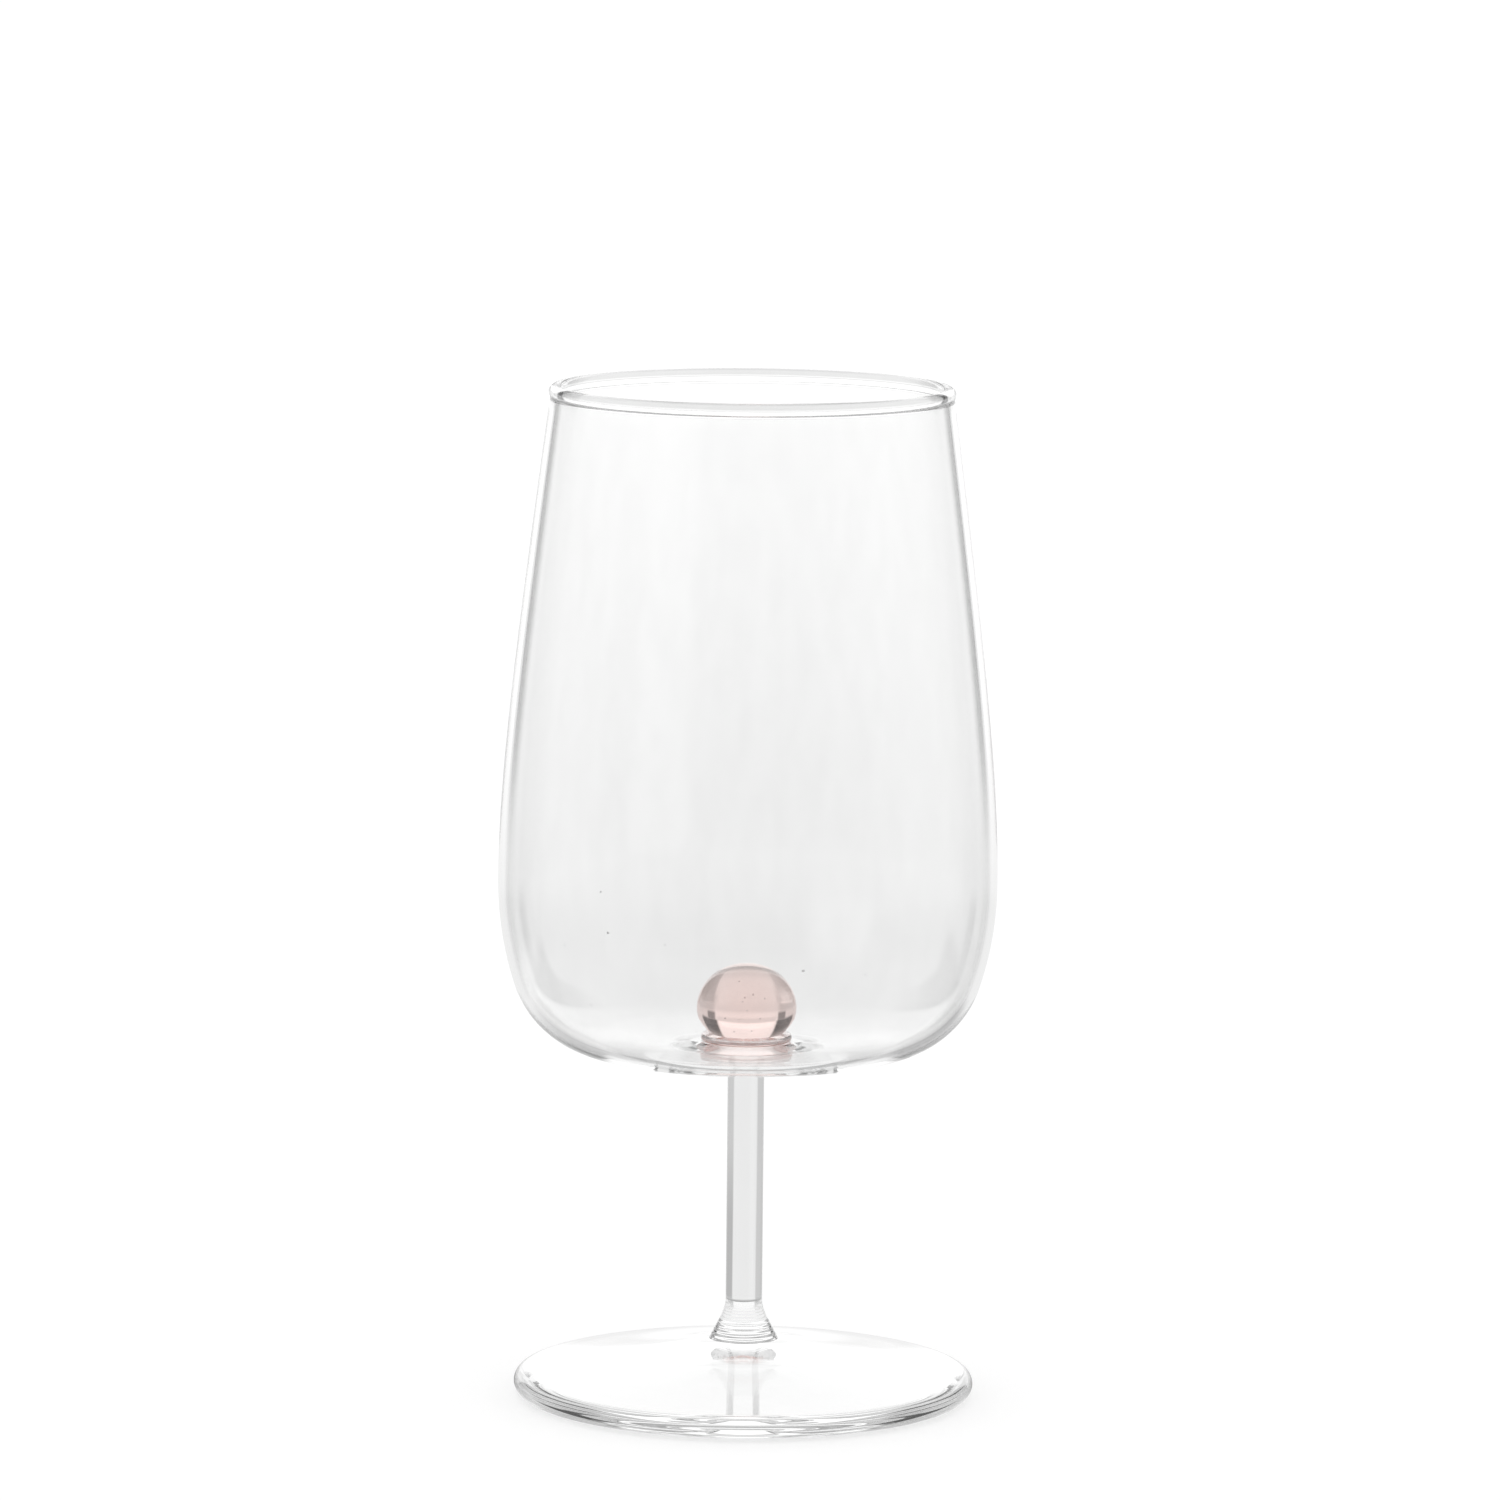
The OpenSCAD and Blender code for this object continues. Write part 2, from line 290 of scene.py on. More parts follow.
class GobletSection:
    """The sections of both glasses, worked out from the goblet's sizes"""

    def __init__(self, s):
        self.s = s
        underside_z = s.goblet_h - s.bowl_h
        bead_r = s.bead_d / 2
        self.bead_centre = (s.mouth_d / 2 - bead_r, s.goblet_h - bead_r)
        bead_out = -acos((bead_r - s.bead_proud) / bead_r)
        bead_in = tau - acos((bead_r - s.bead_proud - s.rim_wall) / bead_r)
        rim_out, rim_in = [
            (self.bead_centre[0] + bead_r * cos(a), self.bead_centre[1] + bead_r * sin(a))
            for a in (bead_out, bead_in)
        ]
        self.outside = BowlFace(s, s.bowl_d / 2, s.belly_r, underside_z, rim_out)
        self.inside = BowlFace(
            s,
            s.bowl_d / 2 - s.belly_wall,
            s.belly_r - s.belly_wall,
            underside_z + s.floor_t,
            rim_in,
        )
        outer = self.bead_side(rim_out, self.outside, s.bead_fillet, 1)
        self.bead_start, self.wall_top_z, self.bead_fillet = outer
        inner = self.bead_side(rim_in, self.inside, s.bead_root, -1)
        self.bead_end, self.inner_top_z, self.bead_root = inner
        self.collar_turn = asin(s.collar_h / 2 / s.collar_bulge_r)
        self.seat_r = s.collar_d / 2 - s.collar_bulge_r * (1 - cos(self.collar_turn))
        self.seat_z = dome_z(self.seat_r, self.inside.dome_r, self.inside.bottom_z) + s.mound_h
        self.neck_turn = acos(s.neck_d / s.ball_d)
        neck_z = self.seat_z + s.collar_h + s.neck_rise
        self.ball_centre_z = neck_z + s.ball_h / 2 * sin(self.neck_turn)

    def bead_side(self, rim_point, face, fillet_r, side):
        """The fillet between the bead and a face of the wall; side is 1 for the outer face, -1 for the inner

        It gives the turn at which the bead ends, the height at which the wall ends, and the fillet's points.
        """
        lean = (face.wall_radius(rim_point[1] - MM) - rim_point[0]) / MM
        down = Vector((lean, -1)).normalized()
        out = side * Vector((1, lean)).normalized()
        near_wall = Vector(rim_point) + fillet_r * out
        from_wall = Vector(self.bead_centre) - near_wall
        drop = from_wall.dot(down)
        reach = self.s.bead_d / 2 + fillet_r
        centre = near_wall + down * (drop + sqrt(reach**2 - from_wall.length_squared + drop**2))
        bead_turn = atan2(centre.y - self.bead_centre[1], centre.x - self.bead_centre[0])
        wall_turn = atan2(-out.y, -out.x)
        if side > 0:
            fillet = arc_points(centre, fillet_r, wall_turn + tau, bead_turn + pi)
        else:
            fillet = arc_points(centre, fillet_r, bead_turn + pi, wall_turn)
        return bead_turn, centre.y - fillet_r * out.y, fillet

    def foot(self):
        s = self.s
        edge_r = s.foot_edge_t / 2
        centre = (s.foot_d / 2 - edge_r, edge_r)
        edge = arc_points(centre, edge_r, -pi / 2, pi / 2 - s.foot_edge_slope)
        start_r, start_z = edge[-1]
        run = start_r - s.flare_d / 2
        rise = foot_rise(s.foot_h - start_z, run, s.foot_edge_slope)
        spans = [run * i / FOOT_STEPS for i in range(1, FOOT_STEPS)]
        top = [(start_r - span, start_z + rise(span)) for span in spans]
        hollow_r = centre[0] - s.rest_ring_w
        flat = [(hollow_r, 0.0), (hollow_r + FLAT_GUARD, 0.0), (centre[0] - FLAT_GUARD, 0.0)]
        return self.hollow(hollow_r) + flat + edge + top

    def hollow(self, hollow_r):
        s = self.s

        def soft_radius(r):
            return hypot(r, s.hollow_softness) - s.hollow_softness

        run = soft_radius(hollow_r)
        rise = foot_rise(s.hollow_h, run, s.foot_edge_slope)
        radii = [hollow_r * i / FOOT_STEPS for i in range(FOOT_STEPS)]
        return [(r, rise(run - soft_radius(r))) for r in radii]

    def flare(self):
        s = self.s
        top_z = s.foot_h + s.flare_h
        rippled = s.ripple_count * s.ripple_pitch
        stem_r = s.stem_d / 2
        slope = soft_slope(s.flare_d / 2 - stem_r, s.flare_h, s.flare_softness)

        def radius(z):
            above = z - s.foot_h
            wave = (cos(tau * above / s.ripple_pitch) - 1) / 2 if above < rippled else 0
            return stem_r + soft_rise(top_z - z, slope, s.flare_softness) + s.ripple_depth * wave

        steps = s.ripple_count * STEPS_PER_RIPPLE
        heights = [s.foot_h + s.ripple_pitch * i / STEPS_PER_RIPPLE for i in range(steps)]
        smooth_h = s.flare_h - rippled
        heights += [s.foot_h + rippled + smooth_h * i / FLARE_STEPS for i in range(FLARE_STEPS + 1)]
        return [(radius(z), z) for z in heights] + [(stem_r, top_z + FLAT_GUARD)]

    def bowl_outside(self):
        s = self.s
        face = self.outside
        stem_r = s.stem_d / 2
        fillet_r = stem_r + s.stem_fillet
        top_z = dome_z(fillet_r, face.dome_r, face.bottom_z)
        centre = (fillet_r, top_z - s.stem_fillet)
        fillet = arc_points(centre, s.stem_fillet, pi, STEM_FILLET_END, STEM_FILLET_STEP)
        dome_start = asin(fillet_r / face.dome_r) - pi / 2
        dome_end = -face.turn
        turns = [dome_start + (dome_end - dome_start) * i / DOME_STEPS for i in range(DOME_STEPS)]
        dome = [(face.dome_r * cos(a), face.bottom_z + face.dome_r * (1 + sin(a))) for a in turns]
        guard = [(stem_r, fillet[0][1] - FLAT_GUARD)]
        wall = face.shoulder_and_belly() + face.upper_wall(self.wall_top_z)[:-1]
        return guard + fillet + dome + wall + self.bead_fillet

    def bead(self):
        start = self.bead_start + BEAD_STEP
        end = self.bead_end + tau - BEAD_STEP
        return arc_points(self.bead_centre, self.s.bead_d / 2, start, end, BEAD_STEP)

    def bowl_inside(self):
        face = self.inside
        down = list(reversed(face.shoulder_and_belly() + face.upper_wall(self.inner_top_z)[:-1]))
        return self.bead_root + down[:-1] + self.floor()

    def floor(self):
        s = self.s
        face = self.inside
        edge_r = face.dome_r * cos(face.turn)

        def mound(r):
            t = (r - self.seat_r) / (s.mound_d / 2 - self.seat_r)
            return s.mound_h * (1 + cos(pi * min(t, 1))) / 2

        radii = [edge_r + (self.seat_r - edge_r) * i / FLOOR_STEPS for i in range(FLOOR_STEPS + 1)]
        return [(r, dome_z(r, face.dome_r, face.bottom_z) + mound(r)) for r in radii]

    def clear_glass(self):
        seat = [(self.seat_r - FLAT_GUARD, self.seat_z), (0.0, self.seat_z)]
        return self.foot() + self.flare() + self.bowl_outside() + self.bead() + self.bowl_inside() + seat

    def bowl_seeds(self):
        seeds = []
        for z, turn, across in BOWL_SEEDS:
            r = (self.outside.radius_at(z) + self.inside.radius_at(z)) / 2
            seeds.append(((r * sin(turn), -r * cos(turn), z), across))
        return seeds

    def ball_bubbles(self):
        return [((x, y, self.ball_centre_z + z), across) for (x, y, z), across in BALL_BUBBLES]

    def rose_ball(self):
        s = self.s
        ball_r, half_h = s.ball_d / 2, s.ball_h / 2
        bulge_centre = (s.collar_d / 2 - s.collar_bulge_r, self.seat_z + s.collar_h / 2)
        collar = arc_points(bulge_centre, s.collar_bulge_r, -self.collar_turn, self.collar_turn, COLLAR_STEP)
        oval = arc_points((0, 0), 1, -self.neck_turn, pi / 2, ARC_STEP)
        seat = [(0.0, self.seat_z), (self.seat_r - FLAT_GUARD, self.seat_z)]
        side = [(ball_r * r, self.ball_centre_z + half_h * z) for r, z in oval[:-1]]
        return seat + collar + side + [(0.0, self.ball_centre_z + half_h)]


# Making the meshes


def add_bubble(bm, place, across):
    """A tiny closed bubble inside the glass; its faces look inwards, because the air is inside"""
    made = bmesh.ops.create_icosphere(bm, subdivisions=3, radius=across / 2, matrix=Matrix.Translation(place))
    faces = list({face for vert in made["verts"] for face in vert.link_faces})
    bmesh.ops.reverse_faces(bm, faces=faces)


def turned(name, section, steps, bubbles):
    """One closed solid: the section is drawn as a line beside the axis and spun once about it"""
    bm = bmesh.new()
    points = [bm.verts.new((r, 0.0, z)) for r, z in section]
    line = [bm.edges.new(pair) for pair in zip(points, points[1:])]
    bmesh.ops.spin(
        bm,
        geom=points + line,
        cent=(0, 0, 0),
        axis=(0, 0, 1),
        angle=tau,
        steps=steps,
        use_merge=True,
        use_duplicate=False,
    )
    bmesh.ops.remove_doubles(bm, verts=bm.verts, dist=WELD_DISTANCE)
    bmesh.ops.recalc_face_normals(bm, faces=bm.faces)
    for place, across in bubbles:
        add_bubble(bm, place, across)
    mesh = bpy.data.meshes.new(name)
    bm.to_mesh(mesh)
    bm.free()
    mesh.shade_smooth()
    mesh.set_sharp_from_angle(angle=CREASE_ANGLE)
    piece = bpy.data.objects.new(name, mesh)
    bpy.context.scene.collection.objects.link(piece)
    return piece


# Materials

GLASS_IOR = 1.47
# Waves that blowing left in a surface: how fine they are, and how deep
CLEAR_WAVES = (55.0, 0.012 * MM)
ROSE_WAVES = (90.0, 0.006 * MM)
# Waves and streaks are drawn out along the goblet's axis
WAVE_STRETCH = (1.0, 1.0, 0.35)
WAVE_DETAIL = 2.0
WAVE_ROUGHNESS = 0.4
STREAK_FINENESS = 300.0
STREAK_DETAIL = 3.0
# Brightness of the clear glass in its streaks, and where a streak begins and ends
STREAK_SHADE = 0.985
STREAK_ENDS = (0.35, 0.6)
# How strongly the rose glass tints, per metre
ROSE_DENSITY = 46.0
# How near the seat's height a surface lies to belong to it
SEAT_MARGIN = 0.002 * MM


def wire(tree, source, target):
    tree.links.new(source, target)


def put_in(tree, value, socket):
    """Gives a socket a number, or wires another socket to it"""
    if isinstance(value, bpy.types.NodeSocket):
        wire(tree, value, socket)
    else:
        socket.default_value = value


def math_node(tree, operation, *values):
    """A Math node whose inputs are numbers or sockets"""
    node = tree.nodes.new("ShaderNodeMath")
    node.operation = operation
    for socket, value in zip(node.inputs, values):
        put_in(tree, value, socket)
    return node.outputs[0]


def coordinates(tree, kind):
    """One of the texture coordinates, whole and split into X, Y and Z"""
    place = tree.nodes.new("ShaderNodeTexCoord")
    split = tree.nodes.new("ShaderNodeSeparateXYZ")
    wire(tree, place.outputs[kind], split.inputs["Vector"])
    return place.outputs[kind], split.outputs


def noise(tree, place, detail):
    node = tree.nodes.new("ShaderNodeTexNoise")
    node.inputs["Detail"].default_value = detail
    wire(tree, place, node.inputs["Vector"])
    return node


def blown_surface_group():
    """Slow waves and faint streaks that blowing and turning leave in glass"""
    group = bpy.data.node_groups.new("blown_surface", "ShaderNodeTree")
    put = group.interface.new_socket
    put("Wave size", in_out="INPUT", socket_type="NodeSocketFloat")
    put("Height", in_out="OUTPUT", socket_type="NodeSocketFloat")
    put("Streak", in_out="OUTPUT", socket_type="NodeSocketFloat")
    source = group.nodes.new("NodeGroupInput")
    result = group.nodes.new("NodeGroupOutput")
    place = group.nodes.new("ShaderNodeTexCoord")
    stretch = group.nodes.new("ShaderNodeMapping")
    stretch.inputs["Scale"].default_value = WAVE_STRETCH
    wire(group, place.outputs["Object"], stretch.inputs["Vector"])
    waves = noise(group, stretch.outputs["Vector"], WAVE_DETAIL)
    waves.inputs["Roughness"].default_value = WAVE_ROUGHNESS
    wire(group, source.outputs["Wave size"], waves.inputs["Scale"])
    streaks = noise(group, stretch.outputs["Vector"], STREAK_DETAIL)
    streaks.inputs["Scale"].default_value = STREAK_FINENESS
    wire(group, waves.outputs["Fac"], result.inputs["Height"])
    wire(group, streaks.outputs["Fac"], result.inputs["Streak"])
    return group


def glass_material(name, tint, wave_size, wave_depth):
    """Smooth fire-polished glass"""
    material = bpy.data.materials.new(name)
    material.use_nodes = True
    tree = material.node_tree
    shader = tree.nodes["Principled BSDF"]
    shader.inputs["Roughness"].default_value = 0.0
    shader.inputs["IOR"].default_value = GLASS_IOR
    shader.inputs["Transmission Weight"].default_value = 1.0
    waves = tree.nodes.new("ShaderNodeGroup")
    waves.node_tree = bpy.data.node_groups.get("blown_surface") or blown_surface_group()
    waves.inputs["Wave size"].default_value = wave_size
    relief = tree.nodes.new("ShaderNodeBump")
    relief.inputs["Strength"].default_value = 1.0
    relief.inputs["Distance"].default_value = wave_depth
    wire(tree, waves.outputs["Height"], relief.inputs["Height"])
    wire(tree, relief.outputs["Normal"], shader.inputs["Normal"])
    shades = tree.nodes.new("ShaderNodeValToRGB")
    streak, plain = shades.color_ramp.elements
    streak.color = (*[c * STREAK_SHADE for c in tint], 1)
    plain.color = (*tint, 1)
    streak.position, plain.position = STREAK_ENDS
    wire(tree, waves.outputs["Streak"], shades.inputs["Fac"])
    wire(tree, shades.outputs["Color"], shader.inputs["Base Color"])
    return material


def leave_seat_open(material, section):
    """Where the glasses have run together there is no surface, so the meeting faces let everything through"""
    tree = material.node_tree
    split = coordinates(tree, "Object")[1]
    gap = math_node(tree, "ABSOLUTE", math_node(tree, "SUBTRACT", split["Z"], section.seat_z))
    level = math_node(tree, "LESS_THAN", gap, SEAT_MARGIN)
    across = math_node(tree, "POWER", split["X"], 2.0)
    deep = math_node(tree, "POWER", split["Y"], 2.0)
    near = math_node(tree, "LESS_THAN", math_node(tree, "ADD", across, deep), section.seat_r**2)
    joined = math_node(tree, "MULTIPLY", level, near)
    alpha = tree.nodes["Principled BSDF"].inputs["Alpha"]
    wire(tree, math_node(tree, "SUBTRACT", 1.0, joined), alpha)


# Operators that make the pieces


class GOBLET_OT_clear_glass(bpy.types.Operator):
    """Turn the bowl, stem and foot as one piece of clear glass"""

    bl_idname = "goblet.clear_glass"
    bl_label = "Clear glass"

    def execute(self, context):
        looks = context.scene.goblet_looks
        section = GobletSection(context.scene.goblet)
        piece = turned("goblet_glass", section.clear_glass(), TURN_STEPS, section.bowl_seeds())
        material = glass_material("clear_blown_glass", looks.clear_tint, *CLEAR_WAVES)
        leave_seat_open(material, section)
        piece.data.materials.append(material)
        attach(piece, "root")
        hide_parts("clear_glass")
        return {"FINISHED"}


class GOBLET_OT_rose_ball(bpy.types.Operator):
    """Turn the rose glass ball that is fused to the bowl's floor"""

    bl_idname = "goblet.rose_ball"
    bl_label = "Rose ball"

    def execute(self, context):
        looks = context.scene.goblet_looks
        section = GobletSection(context.scene.goblet)
        piece = turned("fused_ball", section.rose_ball(), BALL_STEPS, section.ball_bubbles())
        material = glass_material("rose_glass", (1.0, 1.0, 1.0), *ROSE_WAVES)
        leave_seat_open(material, section)
        tree = material.node_tree
        tint = tree.nodes.new("ShaderNodeVolumeAbsorption")
        tint.inputs["Color"].default_value = (*looks.rose_tint, 1)
        tint.inputs["Density"].default_value = ROSE_DENSITY
        wire(tree, tint.outputs["Volume"], tree.nodes["Material Output"].inputs["Volume"])
        piece.data.materials.append(material)
        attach(piece, "root")
        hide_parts("rose_ball")
        return {"FINISHED"}


# The studio

# Only light that has passed the glass sees it: to the eye the surroundings are white. Angles are in degrees.
# A turn of 0 is straight behind the goblet, and plus is to the right; sideways is the turn without its sign.
# A height of 0 is level, and a depth is a height below that. A brightness of 1 is white.

# Brightness by the angle sideways: the backdrop with the panels beside it, the panels above, and the table
BACKDROP = ((0, 1.18), (26, 1.18), (31, 0.8), (110, 0.8), (150, 0.55), (180, 0.55))
TOP_PANELS = ((0, 1.0), (40, 0.8), (70, 0.65), (180, 0.65))
FAR_TABLE = ((0, 1.06), (26, 1.06), (31, 0.8), (58, 0.8), (64, 0.9), (90, 0.9), (120, 0.7), (180, 0.6))
TOP_HEIGHTS = (42, 60)
TABLE_END_HEIGHTS = (-2.5, 4)
# The table darkens downwards at first, is pale again near the goblet, and a little darker beside the foot
SWEEP_DEPTHS, SWEEP_DARKENING = (5.3, 9.5), 0.2
NEAR_DEPTHS, NEAR_LIFT = (14, 24), 0.35
NEAR_LEVEL, BESIDE_FOOT_LEVEL, BESIDE_FOOT_DEPTHS = 0.87, 0.76, (33, 43)
# Dark gaps between the backdrop and the side panels, and slits at the backdrop's lower corners
DARK = 0.06
LEFT_GAP, RIGHT_GAP = (-43, 14, 4), (39, 11, 4)
GAP_START_HEIGHTS, GAP_END_HEIGHTS = (1, 5), (18, 46)
SLITS, SLIT_SHARE = ((33, 4, 3), (-1, 3, 4)), 0.8
# Patches: the middle, half-width and soft edge of the turn, and then of the height
LEFT_CARD = ((-45, 9, 8), (-25, 6, 5))
BACK_CARD = ((135, 10, 10), (-15, 6, 5))
CARD_LEVEL = 1.0
GLOW, GLOW_LEVEL = ((0, 20, 6), (8, 3, 4)), 1.36
HORIZON, HORIZON_LEVEL = ((0, 24, 4), (1.5, 1.5, 3.5)), 0.88

# The table as the glass shows it, by the distance in metres from the goblet's axis, glowing with painted
# light
# and shade: a painted pool of light under the foot, a painted shadow ring round it, and painted shade in two
# dim patches behind the goblet, one to the right and one to the left
# Painted light and shadow: the bright pool under the foot and the dark shadow ring round it
POOL_LEVEL, SHADOW_RING_LEVEL = 0.91, 0.4
SHADOW_RING_START, SHADOW_RING_END = (0.038, 0.042), (0.054, 0.07)
# Painted shade: two dim patches that darken the table's glow behind the goblet
DIM_START = (0.06, 0.08)
RIGHT_DIM_TURN, RIGHT_DIM_END, RIGHT_DIM_LEVEL = (46, 15, 5), (0.15, 0.25), 0.47
LEFT_DIM_TURN, LEFT_DIM_END, LEFT_DIM_LEVEL = (-46, 15, 8), (0.1, 0.21), 0.6
MIDDLE_TURNS = (-5, 5)

# The table as the eye sees it: paint that takes the goblet's shadow, and a glow that lifts it to white
TABLE_PAINT = 0.4
TABLE_GLOW = 0.65
TABLE_REACH = 6.0
TABLE_DROP = 0.5 * MM

# The camera, fitted to the photograph's ellipses of the rim and the foot
CAMERA_PLACE = (0, -1.3966, 0.2969)
CAMERA_LENS = 202.9
SENSOR_W = 36.0
CAMERA_CLIP = 0.05
LOOKS_DOWN = 7.66
LOOKS_SIDEWAYS = -0.006
CAMERA_ROLL = 0.553

GLASS_BOUNCES = 96
OPEN_BOUNCES = 32


def soft_step(tree, value, start, end, course="SMOOTHSTEP"):
    """0 up to the start, 1 from the end on, and soft between them"""
    node = tree.nodes.new("ShaderNodeMapRange")
    node.interpolation_type = course
    wire(tree, value, node.inputs["Value"])
    node.inputs["From Min"].default_value = start
    node.inputs["From Max"].default_value = end
    return node.outputs[0]


def soft_fall(tree, value, start, end):
    """1 up to the start, 0 from the end on, and soft between them"""
    return math_node(tree, "SUBTRACT", 1.0, soft_step(tree, value, start, end))


def window(tree, value, middle, half, soft):
    """1 within a half-width of the middle, and 0 past the soft edge around it"""
    offset = math_node(tree, "ABSOLUTE", math_node(tree, "SUBTRACT", value, middle))
    return soft_fall(tree, offset, half, half + soft)


def all_of(tree, *masks):
    product = masks[0]
    for mask in masks[1:]:
        product = math_node(tree, "MULTIPLY", product, mask)
    return product


def either(tree, first, second):
    return math_node(tree, "MAXIMUM", first, second)


def patch(tree, turn, height, place):
    """1 in one patch of the studio, which is given by its turn and its height"""
    return all_of(tree, window(tree, turn, *place[0]), window(tree, height, *place[1]))


def laid_over(tree, under, over, mask):
    """The brightness over, where the mask is 1, and the brightness under elsewhere"""
    node = tree.nodes.new("ShaderNodeMix")
    node.data_type = "FLOAT"
    wire(tree, mask, node.inputs["Factor"])
    put_in(tree, under, node.inputs["A"])
    put_in(tree, over, node.inputs["B"])
    return node.outputs["Result"]


def mixed(tree, mask, under, over):
    """The shader over, where the mask is 1, and the shader under elsewhere"""
    node = tree.nodes.new("ShaderNodeMixShader")
    for socket, source in zip(node.inputs, (mask, under, over)):
        wire(tree, source, socket)
    return node.outputs[0]


def round_the_goblet(tree, sideways, stops):
    """Brightness by the angle sideways, from 0 to 180 degrees"""
    ramp = tree.nodes.new("ShaderNodeValToRGB")
    wire(tree, math_node(tree, "DIVIDE", sideways, 180.0), ramp.inputs["Fac"])
    elements = ramp.color_ramp.elements
    elements.remove(elements[1])
    elements[0].position = 0.0
    elements[0].color = (stops[0][1],) * 3 + (1,)
    for turn, level in stops[1:]:
        elements.new(turn / 180).color = (level, level, level, 1)
    return ramp.outputs["Color"]


def turn_of(tree, split):
    turn = math_node(tree, "ARCTAN2", split["X"], split["Y"])
    return math_node(tree, "DEGREES", turn)


def light_path(tree, name):
    node = tree.nodes.new("ShaderNodeLightPath")
    return node.outputs[name]


def through_glass(tree):
    """1 for light that has been reflected or refracted by the glass"""
    return either(tree, light_path(tree, "Is Glossy Ray"), light_path(tree, "Is Transmission Ray"))


def table_from_afar(tree, turn, sideways, height):
    """The table below the horizon, with a bright card to the left and one behind the camera"""
    depth = math_node(tree, "MULTIPLY", height, -1.0)
    far = round_the_goblet(tree, sideways, FAR_TABLE)
    sweep = math_node(tree, "MULTIPLY", soft_step(tree, depth, *SWEEP_DEPTHS, "LINEAR"), SWEEP_DARKENING)
    far = math_node(tree, "SUBTRACT", far, sweep)
    near = math_node(tree, "MINIMUM", math_node(tree, "ADD", far, NEAR_LIFT), 1.0)
    beside_foot = soft_step(tree, depth, *BESIDE_FOOT_DEPTHS)
    near_level = laid_over(tree, NEAR_LEVEL, BESIDE_FOOT_LEVEL, beside_foot)
    near = math_node(tree, "MULTIPLY", near, near_level)
    table = laid_over(tree, far, near, soft_step(tree, depth, *NEAR_DEPTHS))
    cards = either(tree, patch(tree, turn, height, LEFT_CARD), patch(tree, turn, height, BACK_CARD))
    return laid_over(tree, table, CARD_LEVEL, cards)


def studio_seen_in_glass(tree):
    """A white backdrop behind, dark gaps beside it, side and top panels, and the table all round"""
    split = coordinates(tree, "Generated")[1]
    turn = turn_of(tree, split)
    sideways = math_node(tree, "ABSOLUTE", turn)
    height = math_node(tree, "DEGREES", math_node(tree, "ARCSINE", split["Z"]))

    panels = round_the_goblet(tree, sideways, BACKDROP)
    top = round_the_goblet(tree, sideways, TOP_PANELS)
    panels = laid_over(tree, panels, top, soft_step(tree, height, *TOP_HEIGHTS))
    table = table_from_afar(tree, turn, sideways, height)
    light = laid_over(tree, table, panels, soft_step(tree, height, *TABLE_END_HEIGHTS))
    light = laid_over(tree, light, GLOW_LEVEL, patch(tree, sideways, height, GLOW))
    light = laid_over(tree, light, HORIZON_LEVEL, patch(tree, sideways, height, HORIZON))

    gaps = all_of(
        tree,
        either(tree, window(tree, turn, *LEFT_GAP), window(tree, turn, *RIGHT_GAP)),
        soft_step(tree, height, *GAP_START_HEIGHTS),
        soft_fall(tree, height, *GAP_END_HEIGHTS),
    )
    slits = math_node(tree, "MULTIPLY", patch(tree, sideways, height, SLITS), SLIT_SHARE)
    return laid_over(tree, light, DARK, either(tree, gaps, slits))


def table_seen_by_eye(tree):
    """White with the goblet's shadow"""
    paint = tree.nodes.new("ShaderNodeBsdfDiffuse")
    paint.inputs["Color"].default_value = (TABLE_PAINT, TABLE_PAINT, TABLE_PAINT, 1)
    glow = tree.nodes.new("ShaderNodeEmission")
    glow.inputs["Strength"].default_value = TABLE_GLOW
    seen = tree.nodes.new("ShaderNodeAddShader")
    wire(tree, paint.outputs[0], seen.inputs[0])
    wire(tree, glow.outputs[0], seen.inputs[1])
    return seen.outputs[0]


def table_seen_in_glass(tree):
    """A painted pool of light under the foot, a painted shadow ring round it, painted shade in two patches,
    and open to the studio's light beyond
    """
    place, split = coordinates(tree, "Object")
    length = tree.nodes.new("ShaderNodeVectorMath")
    length.operation = "LENGTH"
    wire(tree, place, length.inputs[0])
    distance = length.outputs["Value"]
    turn = turn_of(tree, split)

    # Painted shade in two dim patches behind the goblet, one to the right and one to the left
    past_foot = soft_step(tree, distance, *DIM_START)
    right = all_of(tree, window(tree, turn, *RIGHT_DIM_TURN), soft_fall(tree, distance, *RIGHT_DIM_END))
    left = all_of(tree, window(tree, turn, *LEFT_DIM_TURN), soft_fall(tree, distance, *LEFT_DIM_END))
    dim = all_of(tree, past_foot, either(tree, right, left))
    beyond = soft_step(tree, distance, *SHADOW_RING_END)
    open_part = math_node(tree, "SUBTRACT", beyond, all_of(tree, beyond, dim))

    # Painted light and shadow: a bright pool under the foot and a dark shadow ring round it
    pool_and_shadow_level = laid_over(tree, POOL_LEVEL, SHADOW_RING_LEVEL, soft_step(tree, distance, *SHADOW_RING_START))
    # Brightness of the painted shade: one level for the left patch and one for the right
    painted_shade_level = laid_over(tree, LEFT_DIM_LEVEL, RIGHT_DIM_LEVEL, soft_step(tree, turn, *MIDDLE_TURNS))
    # The table's glow in the glass carries this painted light and shade
    painted_light_glow = tree.nodes.new("ShaderNodeEmission")
    wire(tree, laid_over(tree, pool_and_shadow_level, painted_shade_level, past_foot), painted_light_glow.inputs["Strength"])
    clear = tree.nodes.new("ShaderNodeBsdfTransparent")
    return mixed(tree, open_part, painted_light_glow.outputs[0], clear.outputs[0])


def white_table():
    material = bpy.data.materials.new("white_table")
    material.use_nodes = True
    tree = material.node_tree
    tree.nodes.remove(tree.nodes["Principled BSDF"])
    surface = mixed(tree, through_glass(tree), table_seen_by_eye(tree), table_seen_in_glass(tree))
    wire(tree, surface, tree.nodes["Material Output"].inputs["Surface"])
    return material


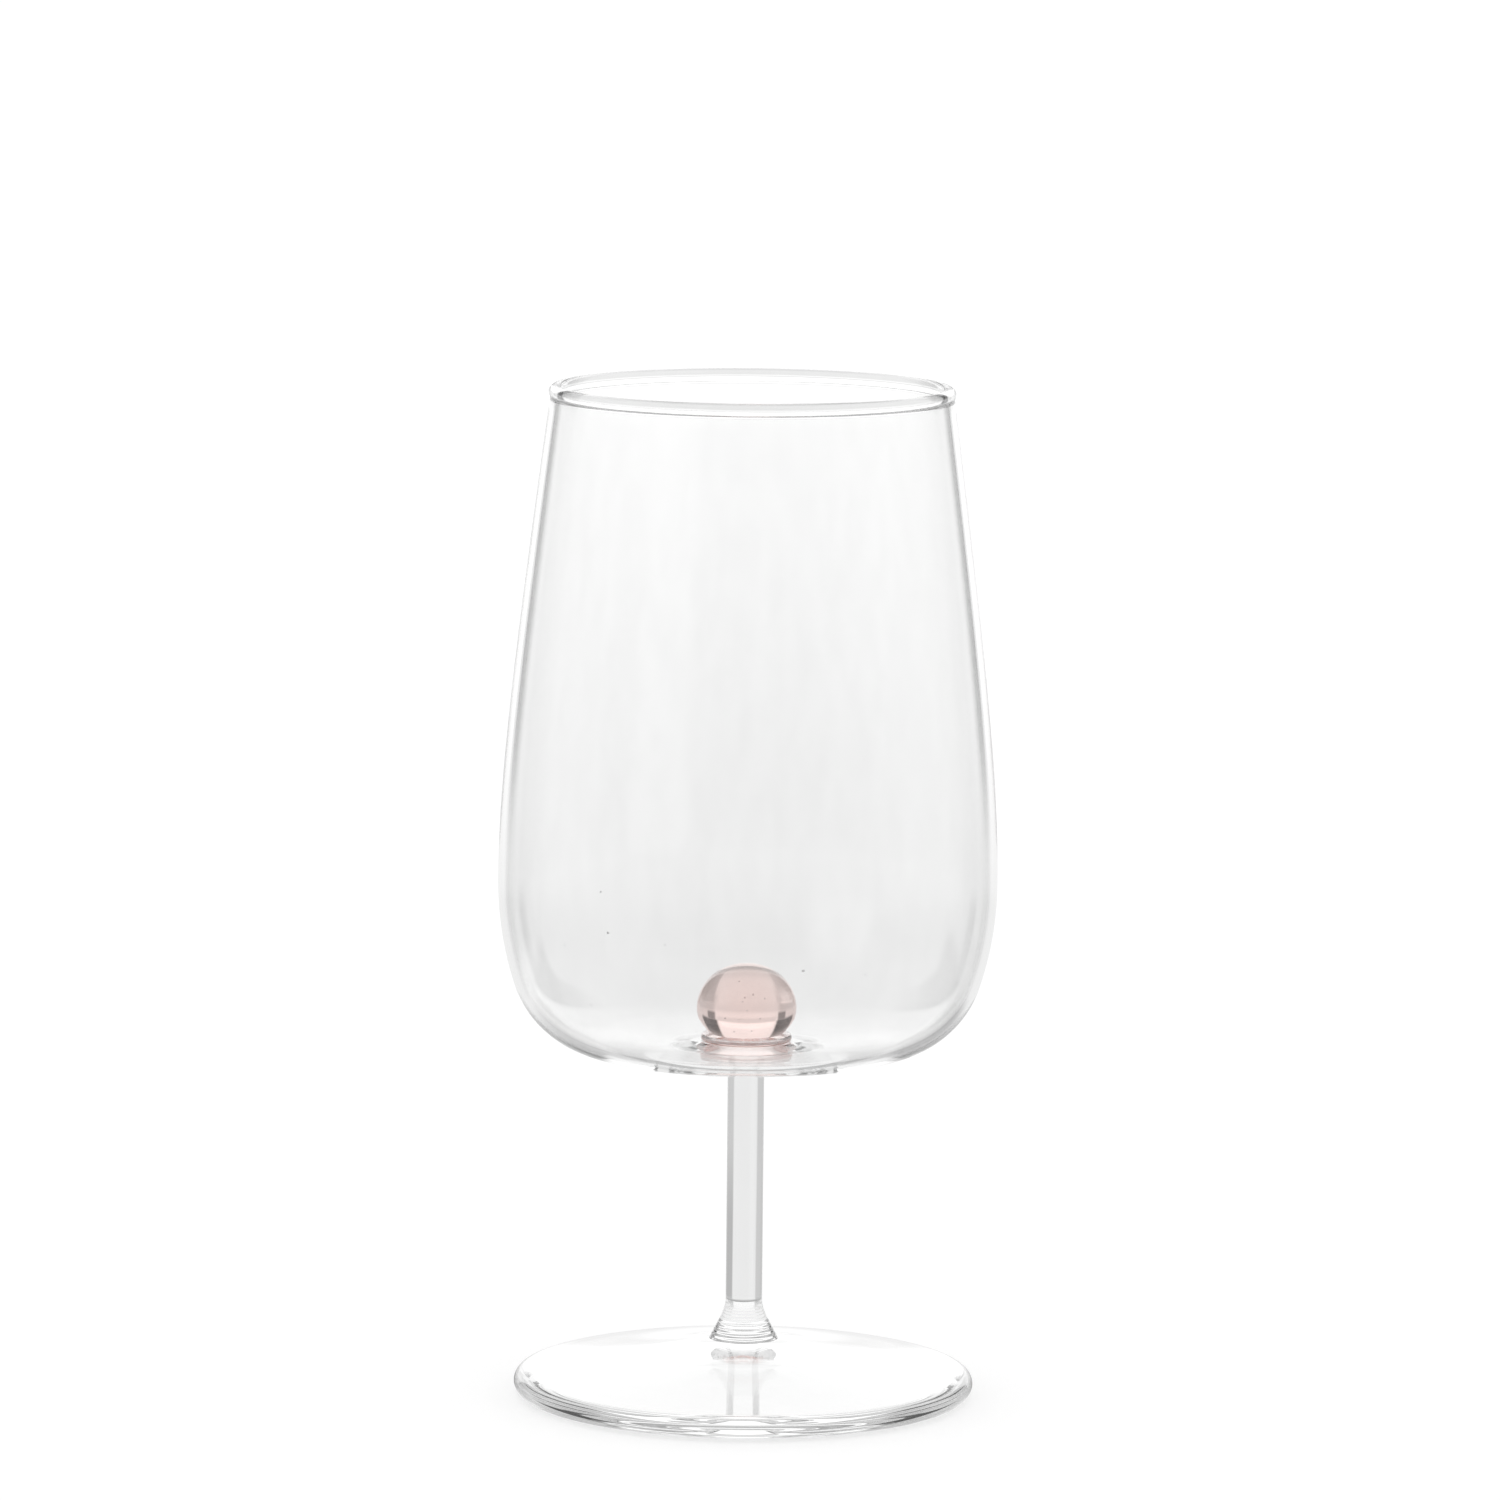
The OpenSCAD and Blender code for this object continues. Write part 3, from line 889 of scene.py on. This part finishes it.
class GOBLET_OT_stage(bpy.types.Operator):
    """Set the table, the studio's light and the camera"""

    bl_idname = "goblet.stage"
    bl_label = "Stage"

    def execute(self, context):
        scene = context.scene
        mesh = bpy.data.meshes.new("table")
        bm = bmesh.new()
        bmesh.ops.create_grid(bm, x_segments=1, y_segments=1, size=TABLE_REACH)
        bmesh.ops.translate(bm, verts=bm.verts, vec=(0, 0, -TABLE_DROP))
        bm.to_mesh(mesh)
        bm.free()
        table = bpy.data.objects.new("table", mesh)
        scene.collection.objects.link(table)
        mesh.materials.append(white_table())

        world = bpy.data.worlds.new("studio")
        scene.world = world
        world.use_nodes = True
        tree = world.node_tree
        background = tree.nodes["Background"]
        background.inputs["Color"].default_value = (1, 1, 1, 1)
        in_glass = laid_over(tree, 1.0, studio_seen_in_glass(tree), through_glass(tree))
        brightness = laid_over(tree, in_glass, 1.0, light_path(tree, "Is Camera Ray"))
        wire(tree, brightness, background.inputs["Strength"])

        lens = bpy.data.cameras.new("camera")
        lens.lens = CAMERA_LENS
        lens.sensor_width = SENSOR_W
        lens.clip_start = CAMERA_CLIP
        camera = bpy.data.objects.new("camera", lens)
        scene.collection.objects.link(camera)
        aim = Euler((radians(90 - LOOKS_DOWN), 0, radians(LOOKS_SIDEWAYS))).to_matrix()
        aim = aim @ Matrix.Rotation(radians(CAMERA_ROLL), 3, "Z")
        camera.matrix_world = Matrix.Translation(CAMERA_PLACE) @ aim.to_4x4()
        scene.camera = camera

        scene.view_settings.view_transform = "Standard"
        scene.cycles.max_bounces = GLASS_BOUNCES
        scene.cycles.transmission_bounces = GLASS_BOUNCES
        scene.cycles.glossy_bounces = GLASS_BOUNCES
        scene.cycles.transparent_max_bounces = OPEN_BOUNCES
        return {"FINISHED"}


class GOBLET_PT_panel(bpy.types.Panel):
    """Lists what makes the goblet"""

    bl_label = "Goblet"
    bl_idname = "GOBLET_PT_panel"
    bl_space_type = "VIEW_3D"
    bl_region_type = "UI"
    bl_category = "Goblet"

    def draw(self, context):
        column = self.layout.column()
        for operator in OPERATORS:
            column.operator(operator.bl_idname)
        for group in (context.scene.goblet, context.scene.goblet_looks):
            for name in group.__annotations__:
                column.prop(group, name)


OPERATORS = (GOBLET_OT_clear_glass, GOBLET_OT_rose_ball, GOBLET_OT_stage)
CLASSES = (GobletSizes, GobletLooks, *OPERATORS, GOBLET_PT_panel)


def register():
    for cls in CLASSES:
        bpy.utils.register_class(cls)
    bpy.types.Scene.goblet = PointerProperty(type=GobletSizes)
    bpy.types.Scene.goblet_looks = PointerProperty(type=GobletLooks)


def unregister():
    del bpy.types.Scene.goblet_looks
    del bpy.types.Scene.goblet
    for cls in reversed(CLASSES):
        bpy.utils.unregister_class(cls)


def main():
    register()
    bpy.ops.goblet.clear_glass()
    bpy.ops.goblet.rose_ball()
    bpy.ops.goblet.stage()


if __name__ == "__main__":
    main()
